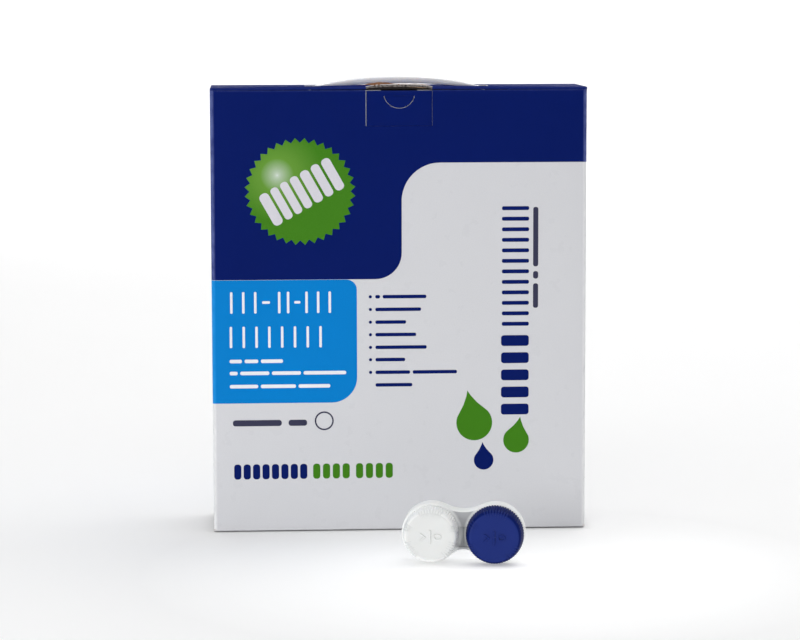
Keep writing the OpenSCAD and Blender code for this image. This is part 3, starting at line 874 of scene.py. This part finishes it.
def lid():
    """The lid: a printed top with rounded folds front and back, cut ends, strap slots and a torn notch."""
    steps, notch_y, shoulder = 30, -HALF_D + 1.55, -HALF_D + 1.2
    notch = []
    for k in range(1, steps):
        rag = 0.30 * math.sin(2.3 * k) + 0.22 * math.sin(5.1 * k + 1.0) + 0.15 * math.sin(9.7 * k)
        notch.append((-TAB_X + 2 * TAB_X * k / steps, notch_y + rag))
    outer = [(-HALF_W, HALF_D), (-HALF_W, -HALF_D), (-TAB_X, -HALF_D), (-TAB_X + 0.02, shoulder), *notch,
             (TAB_X - 0.02, shoulder), (TAB_X, -HALF_D), (HALF_W, -HALF_D), (HALF_W, HALF_D)]
    kinds = []
    for p, q in zip(outer, outer[1:] + outer[:1]):
        fold = abs(abs(p[1]) - HALF_D) < 1e-6 and abs(p[1] - q[1]) < 1e-6
        kinds.append(0 if fold else 1)
    holes = []
    for side in (-1, 1):
        x0, x1 = sorted((side * 42.2, side * 53.9))
        holes.append(rounded(x0, -10.7, x1, 10.7, 0.5, 3)[::-1])
    path = [
        (0.0, (1.60, 0.36), (0, 0)), (0.06, (1.12, 0.20), (0, 1)), (0.24, (0.66, 0.05), (0, 1)),
        (0.55, (0.28, 0.0), (0, 2)), (0.95, (0.06, 0.0), (0, 2)), (1.42, (0.0, 0.04), (0, 2)),
        (1.50, (0.04, 0.14), (0, 2)),
    ]
    board_piece("lid_board", [outer] + holes, lambda u, v, w: (u, v, TOP - w + lid_bulge(u, v)), "lid",
                "lid_panel", ink_lid, path, [kinds] + [[1] * len(h) for h in holes], 35)


def lid_bulge(x, y):
    """The lid stands up a little behind the notch, where its front edge isn't held."""
    across = max(0.0, 1 - (x / 21.0) ** 4)
    return 1.7 * across * max(0.0, min(1.0, (-y - 20.0) / 8.0))


def torn_liner():
    """Kraft liner that has peeled up along the lid's front edge beside the notch."""
    b, steps, start, length = Build(), 34, -35.0, 54.0
    rings = []
    for k in range(steps + 1):
        x = start + length * k / steps
        swell = min(1.0, (x - start) / 11.0) if x < -9 else max(0.2, 1 - (x + 9.0) / 9.0)
        rag = 0.22 * math.sin(1.9 * k) + 0.16 * math.sin(4.3 * k + 0.6)
        tall, lean = max(0.12, (1.35 + rag) * swell), 0.2 * rag
        y = -27.9 + 0.35 * math.sin(0.8 * k)
        base = TOP + lid_bulge(x, y)
        rings.append([(x, y, base - 0.35), (x, y + 0.28, base - 0.35), (x, y + 0.75 + lean, base + tall),
                      (x, y + 0.50 + lean, base + tall + 0.05)])
    b.loft(rings)
    b.piece("lid_torn_liner", [kraft_torn], "lid", slot="inner_board", angle=60)


def torn_fluting():
    """Crushed fluting that hangs in the slit under the lid's notch, painted near black as the slit's shadow.
    """
    b, steps, half, front, back = Build(), 38, 18.6, -27.95, -27.45
    rings = []
    for k in range(steps + 1):
        x = -half + 2 * half * k / steps
        low = 260.45 + 0.14 * math.sin(2.9 * k) + 0.10 * math.sin(7.3 * k + 0.4)
        high = TOP - 0.6 + lid_bulge(x, -27.7)
        rings.append([(x, front, low), (x, back, low + 0.1), (x, back, high), (x, front, high)])
    b.loft(rings)
    b.piece("lid_torn_fluting", [kraft_shadowed], "lid", slot="inner_board", angle=60)


def tuck_flap():
    """The lid's tuck flap, with a thumb notch in its fold."""
    low, high, half, r = 221.5, 260.05, 46.0, 12.0
    mid_z, notch_r = 258.49, 10.69
    start = math.degrees(math.asin((high - mid_z) / notch_r))
    outline = arc(half - r, low + r, r, -90, 0, 10) + [(half, high)]
    outline += arc(0, mid_z, notch_r, start, -180 - start, 28)
    outline += [(-half, high)] + arc(-half + r, low + r, r, 180, 270, 10)
    board_piece("tuck_board", [outline], lambda u, v, w: (u, -27.7 + w, v), "tuck_flap", "tuck_flap",
                ink_navy)


def dust_flap(side, node, body):
    """A dust flap under the lid, hinged on a side wall and cut back at its corners."""
    x0, x1, half, top = 108.3, 66.3, 28.0, cad_box(node)[1][2]
    cut = (x0 - x1) * math.tan(math.radians(30))
    pts = [(x0, -half), (x0, half), (x1, half - cut), (x1, -22.0), (x1 + 1.8, -26.2), (x1 + 6.0, -half)]
    pts = [(side * x, y) for x, y in pts]
    # These run anticlockwise on the right; their mirror image is turned round
    if side < 0:
        pts = pts[::-1]
    board_piece(f"{body}_board", [pts], lambda u, v, w: (u, v, top - w), body, node, board_white)


def press_tab():
    """The tab at the top of the front, and the thumb tongue that a U-shaped cut leaves in it."""
    r, mid_z, top = 9.24, 258.70, 256.6

    def place(u, v, w):
        return (u, -HALF_D - 0.02 + w, v)

    start = math.degrees(math.asin((top - mid_z) / r))
    hole = arc(0, mid_z, r, start, -180 - start, 30)
    outer = rounded(-19.05, 239.15, 19.12, 259.7, 0.35, 3)
    ahead = outer[1:] + outer[:1]
    kinds = [[3 if min(p[1], q[1]) > 259.5 else 0 for p, q in zip(outer, ahead)],
             [1] * (len(hole) - 1) + [2]]
    path = [
        (0.0, (0.07, 0.12, 0.06, 0.07), (0, 0, 0, 0)), (0.10, (0.02, 0.04, 0.02, 0.02), (0, 1, 0, 0)),
        (0.25, (0.0, 0.04, 0.0, 0.0), (1, 1, 0, 0)), (1.20, (0.02, 0.02, 0.0, 0.02), (2, 2, 2, 0)),
        (1.42, (0.10, 0.02, 0.0, 0.10), (3, 3, 3, 2)), (1.50, (0.20, 0.04, 0.0, 0.20), (3, 3, 3, 3)),
    ]
    board_piece("press_tab_board", [outer, hole], place, "press_tab", "press_tab", ink_navy, path, kinds)

    # The tongue narrows by its hinge, so that its edges clear the cut as it swings in
    r, top = r - 0.14, top - 0.06
    start = math.degrees(math.asin((top - mid_z) / r))
    tongue = [(u * (1 - 0.018 * min(1, max(0, (v - 251.1) / 3))), v)
              for u, v in arc(0, mid_z, r, -180 - start, start, 30)]
    path = [
        (0.0, (0.06, 0.04), (0, 0)), (0.10, (0.02, 0.01), (1, 0)), (0.25, (0.0, 0.0), (1, 0)),
        (1.20, (0.26, 0.12), (2, 2)), (1.45, (0.30, 0.12), (3, 3)),
    ]
    board_piece("thumb_tongue_board", [tongue], place, "thumb_tongue", "thumb_tongue", ink_navy, path,
                [[0] * (len(tongue) - 1) + [1]])


def bottom_flap():
    """The outer bottom flap, folded from the front wall and cut on its other edges. Its edges are
    rounded up, so that a thin shadow runs under the walls."""
    outer = [(-HALF_W, -HALF_D), (HALF_W, -HALF_D), (HALF_W, HALF_D), (-HALF_W, HALF_D)]
    path = [
        (0.0, (9.0, 9.0), (0, 0)), (0.60, (1.70, 0.40), (0, 0)), (0.66, (1.05, 0.14), (0, 1)),
        (0.80, (0.55, 0.02), (0, 1)), (1.00, (0.22, 0.0), (0, 2)), (1.22, (0.04, 0.0), (0, 2)),
        (1.50, (0.0, 0.02), (0, 2)),
    ]
    board_piece("bottom_flap_board", [outer], lambda u, v, w: (u, v, w), "carton", "bottom_flap_outer",
                board_white, path, [[0, 1, 1, 1]], 35)


# ---------------------------------------------------------------- carry strap


def strap():
    """Moulded strap: a thin tapering arch, legs through the lid, and barbed anchors under it."""
    b = Build()
    peak, rise, power, end_x, half, thin = 267.3, 6.2, 2.3, 50.4, 10.0, 1.1

    def section(x, z, nx, nz, t):
        """A rounded section across the strap at (x, z), t thick inward from its outer side (nx, nz)."""
        profile = ((-half, 0.30), (-half + 0.25, 0.08), (-half + 0.9, 0.0), (-half + 1.6, 0.10), (0, 0.12),
                   (half - 1.6, 0.10), (half - 0.9, 0.0), (half - 0.25, 0.08), (half, 0.30),
                   (half, 0.75), (half - 0.3, 1.0), (0, 0.94), (-half + 0.3, 1.0), (-half, 0.75))
        return [(x - nx * d * t, y, z - nz * d * t) for y, d in profile]

    arch = []
    for k in range(-24, 25):
        x = end_x * k / 24
        t = abs(x / end_x)
        z = peak - rise * t ** power
        thick = min(3.9 - 2.8 * t ** 2.6, max(z - 261.65, thin))
        slope = -math.copysign(rise * power * t ** (power - 1) / end_x, x)
        size = math.hypot(slope, 1)
        arch.append((x, z, -slope / size, 1 / size, thick))
    right, bend_r = [], 1.7
    for k in range(1, 7):
        a = math.radians(12 + 13 * k)
        c, s = math.cos(a), math.sin(a)
        right.append((end_x + bend_r * s - 0.35, 261.1 - bend_r * (1 - c), s, c, thin))
    right += [(52.6, z, 1.0, 0.0, 1.6 + 0.6 * min(1, (258 - z) / 3)) for z in (258.0, 255.0, 252.0, 249.6)]
    left = [(-x, z, -nx, nz, t) for x, z, nx, nz, t in right[::-1]]
    b.loft([section(*at) for at in left + arch + right])
    for side in (-1, 1):
        x = side * 51.5
        for low, high, w, d in ((246.5, 248.4, 14.0, 2.0), (248.0, 249.5, 12.6, 1.5)):
            slab(b, [rounded(x - d, -w, x + d, w, 1.2, 5)],
                 [(low, 0.35), (low + 0.35, 0), (high - 0.5, 0), (high, 0.5)], lambda *point: point)
    b.piece("strap_moulding", [strap_mat], "carry_strap", replaces=("carry_strap",), slot="strap_plastic",
            angle=45)


# ---------------------------------------------------------------- lens case


def on_case(u, v, w):
    """Lens case places: u to the right, v up, w from its back towards the front."""
    return (CASE_X + u * CASE_C - w * CASE_S, CASE_Y - u * CASE_S - w * CASE_C, FLANGE + v)


def case_outline(grow):
    """Two round flanges and the hollow arcs that join them, anticlockwise."""
    up, low = [(WELL ** 2 - (FLANGE - web) ** 2) / (2 * (FLANGE - web)) for web in (WEB_TOP, WEB_LOW)]
    a_up, a_low = math.degrees(math.atan2(up, WELL)), math.degrees(math.atan2(low, WELL))
    right = arc(WELL, 0, FLANGE + grow, -(180 - a_low), 180 - a_up, 64)
    top = arc(0, up, up - WEB_TOP - grow, -a_up, -(180 - a_up), 16)
    left = arc(-WELL, 0, FLANGE + grow, a_up, 360 - a_low, 64)
    bottom = arc(0, -low, low - WEB_LOW - grow, 180 - a_low, a_low, 16)
    return right[:-1] + top[:-1] + left[:-1] + bottom[:-1]


def case_base():
    """The lens case's tray: flanges and web, two threaded wells, and a ribbed recess between them."""
    b = Build()
    low, high = 9.0, 10.6
    rim = [(low, -1.2), (0.35, -1.2), (0.0, -0.9), (0.0, -0.3), (0.3, 0.0), (9.7, 0.0), (10.3, -0.12),
           (high, -0.5)]
    rings = [b.ring([on_case(u, v, w) for u, v in case_outline(grow)]) for w, grow in rim]
    for k in range(len(rings) - 1):
        b.bridge(rings[k], rings[k + 1])
    holes = [circle(side * WELL, 0, 12.9, 48)[::-1] for side in (-1, 1)]
    holes.append(rounded(-3.9, -8.0, 3.9, 3.6, 0.6, 3)[::-1])
    back, front = [rings[0]], [rings[-1]]
    for hole in holes:
        lower = b.ring([on_case(u, v, low) for u, v in hole])
        upper = b.ring([on_case(u, v, high) for u, v in hole])
        b.bridge(lower, upper, 1 if hole is holes[-1] else 0)
        back.append(lower)
        front.append(upper)
    b.cap(back)
    b.cap(front, 1)
    cup = [(0.4, 0.0), (13.0, 0.0), (13.6, 0.5), (13.8, 1.0), (13.8, 8.6), (13.6, 9.4), (13.6, 16.0),
           (13.3, 16.6), (12.7, 16.6), (12.4, 16.1), (12.4, 8.0), (12.0, 5.2), (10.6, 3.2), (8.0, 2.0),
           (4.0, 1.4), (0.4, 1.2)]
    for side in (-1, 1):
        def place(u, v, w, x=side * WELL):
            return on_case(x + u, v, w)
        turned(b, cup, 72, place)
        thread(b, 13.6, 2.4, 1.3, 12.4, place, 0.6, 0.9)

    # The recess between the wells: a plain back and upright ribs
    slab(b, [rounded(-4.4, -8.6, 4.4, 4.2, 0.5, 3)], [(8.0, 0), (9.2, 0)], on_case, 1)
    for k in range(5):
        x = -2.9 + 1.45 * k
        slab(b, [rounded(x - 0.28, -7.9, x + 0.28, 3.5, 0.25, 3)], [(9.0, 0), (10.0, 0), (10.3, 0.12)],
             on_case, 1)
    b.piece("case_tray", [case_white, case_web_shaded], "lens_case", replaces=("lens_case_base",),
            slot="case_white", angle=40)


def finger_ribs(b, groups, wide, place):
    """Raised ribs over a cap's bevel, in groups of (middle angle, count)."""
    pitch = 6.4
    for middle, count in groups:
        for k in range(count):
            a = math.radians(middle + (k - (count - 1) / 2) * pitch)
            c, s = math.cos(a), math.sin(a)
            inner_r = 11.9 if k % 3 else 11.2
            line = [(15.3, 19.6), (14.95, 20.6), (14.4, 21.5), (13.6, 22.1), (inner_r, 22.2)]
            rings = []
            for i, (r, w) in enumerate(line):
                half, lift = (0.40, 0.42) if 0 < i < len(line) - 1 else (0.16, 0.0)
                # How much of the lift goes outward and how much goes forward
                out, ahead = (0.8, 0.5) if i < 2 else (0.25, 0.8)
                ring = []
                for du, dw in ((-half, -0.4), (-half * 0.6, lift), (half * 0.6, lift), (half, -0.4)):
                    rr = r + wide + dw * out
                    ring.append(place(rr * c - du * s, rr * s + du * c, w + dw * ahead))
                rings.append(ring)
            b.loft(rings)


def case_cap(side, name, node, body, mats, slot, wide, groups):
    """A knurled screw cap with finger ribs over its bevel and a plain raised mark on its face. wide is
    added to its radius, and groups are its finger ribs as (middle angle, count)."""
    b, teeth = Build(), 66

    def place(u, v, w):
        return on_case(side * WELL + u, v, w)

    def wobble(k, a):
        """Grooves in the cap's skirt, shallower at its end."""
        if not 2 <= k <= 5:
            return wide
        wave = abs(math.sin(teeth * a / 2))
        return wide - 0.70 * (1 - wave) ** 1.3 * (0.7 if k == 5 else 1.0)

    outside = [(14.6, 10.8), (15.2, 10.65), (16.15, 10.68), (16.2, 13.0), (15.9, 16.6), (15.35, 19.4),
               (14.95, 20.5), (14.4, 21.4), (13.8, 21.95), (13.1, 22.16), (12.4, 22.12), (8.0, 22.05),
               (3.0, 21.9), (0.6, 21.9)]
    inside = [(0.6, 20.8), (13.2, 20.8), (14.1, 20.0), (14.4, 18.4)]
    # The skirt takes the second material and the rest the first; the darker of each cap's two is painted
    # shade
    marks = [1] * 8 + [0] * (len(outside + inside) - 8)
    turned(b, outside + inside, teeth * 6, place, wobble, ends=False, marks=marks)
    finger_ribs(b, groups, wide, place)
    # The mark: a short bar between an open ring and a small arrow
    for loops in ([rounded(-0.50, -4.4, 0.50, 3.8, 0.45, 4)],
                  [rounded(2.0, -1.9, 6.4, 1.5, 1.6, 6), rounded(2.75, -1.15, 5.65, 0.75, 0.9, 6)[::-1]],
                  [[(-5.9, -2.2), (-5.2, -2.6), (-2.2, -0.3), (-5.2, 2.0), (-5.9, 1.6), (-3.6, -0.3)]]):
        slab(b, loops, [(21.8, 0), (22.40, 0), (22.60, 0.20)], place)
    b.piece(name, mats, body, replaces=(node,), slot=slot, angle=32)


# ---------------------------------------------------------------- bottles


def blown_bottle(number, place):
    """One bottle as a single wall: its outside, its neck and lip, then its inside."""
    def section(w, d, r, z):
        """A rounded section w by d with corner radius r, at height z."""
        r = min(r, w / 2 - 0.01, d / 2 - 0.01)
        return [place(x, y, z) for x, y in rounded(-w / 2, -d / 2, w / 2, d / 2, r, 16)]

    b = Build()
    wide, deep, corner, shoulder_z, neck = 70, 51, 21.5, 186, 27.6
    walls = [(60, 41, 18, 1.6), (61, 42, 18, 0.5), (63, 44, 19, 0.0), (66.5, 47.5, 20.5, 0.5),
             (69.2, 50.2, 21.3, 2.2), (wide, deep, corner, 5), (wide, deep, corner, 24),
             (69.6, 50.6, 21.3, 27), (69.6, 50.6, 21.3, 169), (wide, deep, corner, 172),
             (wide, deep, corner, shoulder_z)]
    for k in range(1, 11):
        t = k / 10
        ease = (1 - math.cos(t * math.pi / 2)) ** 1.25
        walls.append((wide - (wide - neck) * ease, deep - (deep - neck) * ease,
                      corner - (corner - 13.79) * min(1.0, t * 1.05),
                      shoulder_z + 25.6 * math.sin(t * math.pi / 2) ** 1.02))
    lip = [(13.4, 212.0), (15.4, 212.1), (16.0, 212.5), (16.0, 213.5), (15.6, 214.0), (13.2, 214.1),
           (13.2, 229.6), (12.9, 230.0), (12.1, 230.0), (11.8, 229.6), (11.8, 213.0)]
    inside = [(24.6, 24.6, 12.2, 209.0), (42, 36, 16.5, 203.0), (60, 45, 19.0, 194.0),
              (67.4, 48.4, 20.2, 185.0), (67.6, 48.6, 20.3, 6.0), (62, 43, 18, 2.6)]
    b.loft([section(*row) for row in walls + [(2 * r, 2 * r, r, z) for r, z in lip] + inside])
    thread(b, 13.2, 3.0, 2.2, 219.4, place, 0.7, 1.3)
    b.piece(f"bottle_{number}_blown", [bottle_mat], f"bottle_{number}", replaces=(f"bottle_{number}",),
            slot="bottle_plastic", angle=40)


def grooves(depth, power, rows):
    """A wobble that cuts 48 grooves into some points of a turned profile."""
    return lambda k, a: -depth * (1 - abs(math.sin(24 * a))) ** power if k in rows else 0.0


def tamper_ring(number, z, h, place):
    """A grooved ring with eight short bridges up to the screw cap, at height z and h high."""
    b = Build()
    profile = [(14.4, z + 0.1), (15.4, z + 0.05), (15.5, z + h - 0.2), (15.2, z + h), (14.4, z + h)]
    turned(b, profile, 192, place, grooves(0.22, 2, (1, 2)), ends=False)
    for k in range(8):
        a = math.pi * k / 4
        c, s = math.cos(a), math.sin(a)
        corners = ((14.6, -0.5), (15.2, -0.5), (15.2, 0.5), (14.6, 0.5))
        b.loft([[place(r * c - t * s, r * s + t * c, at) for r, t in corners]
                for at in (z + h - 0.3, z + h + 0.22)])
    b.piece(f"tamper_ring_{number}_moulding", [cap_mat], f"bottle_{number}",
            replaces=(f"tamper_ring_{number}",), slot="cap_plastic", angle=35)


def screw_cap(number, z, h, place):
    """A ribbed screw cap with a dished top, at height z and h high."""
    b, top = Build(), z + h
    profile = [(14.4, z), (15.3, z), (15.5, z + 1.6), (15.45, top - 3.2), (15.3, top - 2.4),
               (15.0, top - 0.9), (14.3, top - 0.15), (13.6, top), (12.2, top), (11.8, top - 0.35),
               (3.0, top - 0.35), (0.4, top - 0.35), (0.4, top - 1.3), (13.9, top - 1.3), (14.2, top - 1.6)]
    turned(b, profile, 240, place, grooves(0.5, 1.3, (2, 3)), ends=False)
    b.piece(f"screw_cap_{number}_moulding", [cap_mat], f"screw_cap_{number}",
            replaces=(f"screw_cap_{number}",), slot="cap_plastic", angle=35)


def dress(mat, *nodes):
    """Gives CAD nodes that stay in view their material."""
    for node in nodes:
        mesh = frame["nodes"][node].data
        mesh.materials.clear()
        mesh.materials.append(mat)


def bottle(number):
    """A bottle with its tamper ring and cap, and the materials of its solution, tip, liner and labels."""
    low, high = cad_box(f"bottle_{number}")
    bx, by, bz = (low[0] + high[0]) / 2, (low[1] + high[1]) / 2, low[2]

    def place(u, v, w):
        return (bx + u, by + v, bz + w)

    blown_bottle(number, place)
    for node, shape in ((f"tamper_ring_{number}", tamper_ring), (f"screw_cap_{number}", screw_cap)):
        low, high = cad_box(node)
        shape(number, low[2] - bz, high[2] - low[2], place)
    dress(liquid_mat, f"solution_{number}")
    dress(nozzle_mat, f"dropper_{number}")
    dress(foam_mat, f"cap_liner_{number}")
    dress(label_mat, f"label_front_{number}", f"label_back_{number}")


# ---------------------------------------------------------------- leaflet


def leaflet():
    """A folded leaflet: one long sheet in seven panels, with round folds."""
    (x0, y0, z0), (x1, y1, z1) = cad_box("leaflet")
    sheet_t, panels, steps = 0.17, 7, 6
    pitch = (y1 - y0 - sheet_t) / (panels - 1)
    centre = []
    for k in range(panels):
        y = y0 + sheet_t / 2 + pitch * k
        # Each panel ends a little differently, and runs the other way to the one before it
        start, end = x0 + 1.2 + 0.3 * (k % 3), x1 - 1.2 - 0.25 * ((k + 1) % 3)
        if k % 2:
            start, end = end, start
        for i in range(steps + 1):
            centre.append((start + (end - start) * i / steps, y + 0.02 * math.sin(i * 1.3 + k)))
        if k < panels - 1:
            side = -1 if k % 2 else 1
            for a in (-45, 0, 45):
                centre.append((end + side * pitch / 2 * math.cos(math.radians(a)) * 2.2,
                               y + pitch / 2 + pitch / 2 * math.sin(math.radians(a))))
    b = Build()
    rings = []
    for k, (x, y) in enumerate(centre):
        ahead = Vector(centre[min(k + 1, len(centre) - 1)]) - Vector(centre[max(k - 1, 0)])
        nx, ny = Vector((-ahead.y, ahead.x)).normalized() * sheet_t / 2
        rings.append([(x + nx, y + ny, z0), (x + nx, y + ny, z1), (x - nx, y - ny, z1), (x - nx, y - ny, z0)])
    b.loft(rings)
    b.piece("leaflet_folded", [paper_mat], "leaflet", replaces=("leaflet",), slot="leaflet_paper", angle=50)


# ---------------------------------------------------------------- assembly

carton_walls()
navy_field()
blue_field()
front_art()
back_and_side_art()
bottom_flap()
lid()
torn_liner()
torn_fluting()
tuck_flap()
dust_flap(-1, "lid_dust_left", "dust_flap_left")
dust_flap(1, "lid_dust_right", "dust_flap_right")
press_tab()
strap()
case_base()
case_cap(-1, "case_cap_left_moulding", "lens_case_cap_left", "lens_cap_left", [case_white_face_shaded, case_white],
         "case_white", -0.5, [(90, 9), (215, 7), (325, 7), (160, 3), (20, 3)])
case_cap(1, "case_cap_right_moulding", "lens_case_cap_right", "lens_cap_right", [case_blue, case_blue_rim_shaded],
         "case_blue", 0.0, [(86, 9), (215, 6), (320, 6), (150, 3)])
for number in (1, 2, 3):
    bottle(number)
leaflet()
dress(kraft_in, "glue_flap", "bottom_flap_inner", "bottom_dust_left", "bottom_dust_right")

# ---------------------------------------------------------------- stage, light and camera


def floor_material():
    """White sweep that glows faintly, with a painted pool of light round the lens case that lightens
    the case's shadow. It has no glow under the carton, whose foot has a thin dark line."""
    n = Nodes("studio_floor", Specular_IOR_Level=0.05)
    n.shader.inputs["Emission Color"].default_value = (1, 1, 1, 1)
    n.colour(n.mix(n.noise(400, 2), (0.90, 0.90, 0.90, 1), (0.915, 0.915, 0.915, 1)))
    n.uneven(60, 2, 0.75, 0.85)
    x, y, z = n.axes()
    lit_x, lit_y = 0.045, -0.152
    far = n.far(n.maths("SUBTRACT", x, lit_x), n.maths("SUBTRACT", y, lit_y))
    glow = n.maths("ADD", n.ramp(far, 0.020, 0.195, 0.29, 0.02), n.ramp(far, 0.006, 0.024, 0.12, 0.0))
    beside = n.ramp(n.maths("ABSOLUTE", x), 0.109, 0.116)
    ahead = n.ramp(n.maths("ABSOLUTE", y), 0.029, 0.036)
    n.put(n.shader.inputs["Emission Strength"], n.maths("MULTIPLY", glow, n.maths("MAXIMUM", beside, ahead)))
    return n.mat


def studio():
    """A white sweep: a floor that curves up into a wall far behind, soft light from above and all round."""
    b, side, flat, curve, thick = Build(), 6000, 3600, 900, 8
    rows = [(-side, 0), (flat, 0)]
    for k in range(1, 10):
        a = math.radians(10 * k)
        rows.append((flat + curve * math.sin(a), curve * (1 - math.cos(a))))
    rows.append((flat + curve, 5000))
    b.loft([[(-side, y, z), (side, y, z), (side, y + thick, z - thick), (-side, y + thick, z - thick)]
            for y, z in rows])
    floor = make("studio_sweep", b.verts, b.faces, [floor_material()], "carton", angle=60)
    floor.parent = None
    del floor["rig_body"]

    world = bpy.data.worlds.new("studio")
    bpy.context.scene.world = world
    world.use_nodes = True
    back = world.node_tree.nodes["Background"]
    back.inputs["Color"].default_value = (1.0, 1.0, 1.0, 1)
    back.inputs["Strength"].default_value = 0.46

    def area(name, at, aim, size, power, colour=(1, 1, 1)):
        light = bpy.data.lights.new(name, "AREA")
        light.shape = "RECTANGLE"
        light.size, light.size_y = size
        light.energy = power
        light.color = colour
        obj = bpy.data.objects.new(name, light)
        obj.location = at
        obj.rotation_euler = (Vector(aim) - Vector(at)).to_track_quat("-Z", "Y").to_euler()
        bpy.context.scene.collection.objects.link(obj)

    area("overhead", (0.42, 0.45, 2.0), (0.0, -0.05, 0.0), (2.2, 2.2), 27.5)
    area("front_top", (-0.15, -1.9, 1.6), (0.0, -0.1, 0.0), (1.4, 0.8), 4.6)
    area("low_front", (-0.85, -0.95, 0.16), (-0.06, 0.0, 0.02), (0.6, 0.25), 4.1)
    area("backdrop", (0.0, 3.0, 2.4), (0.0, 4.4, 0.6), (4.0, 1.5), 60)


def camera():
    data = bpy.data.cameras.new("camera")
    data.lens, data.sensor_width = 123.6, 36.0
    data.clip_start, data.clip_end = 0.05, 60.0
    obj = bpy.data.objects.new("camera", data)
    obj.location = (-0.0902, -1.630, 0.3103)
    obj.rotation_euler = (math.radians(90 - 6.583), math.radians(0.122), math.radians(-3.248))
    bpy.context.scene.collection.objects.link(obj)
    bpy.context.scene.camera = obj


studio()
camera()
bpy.context.scene.view_settings.view_transform = "Standard"
bpy.context.scene.view_settings.look = "None"
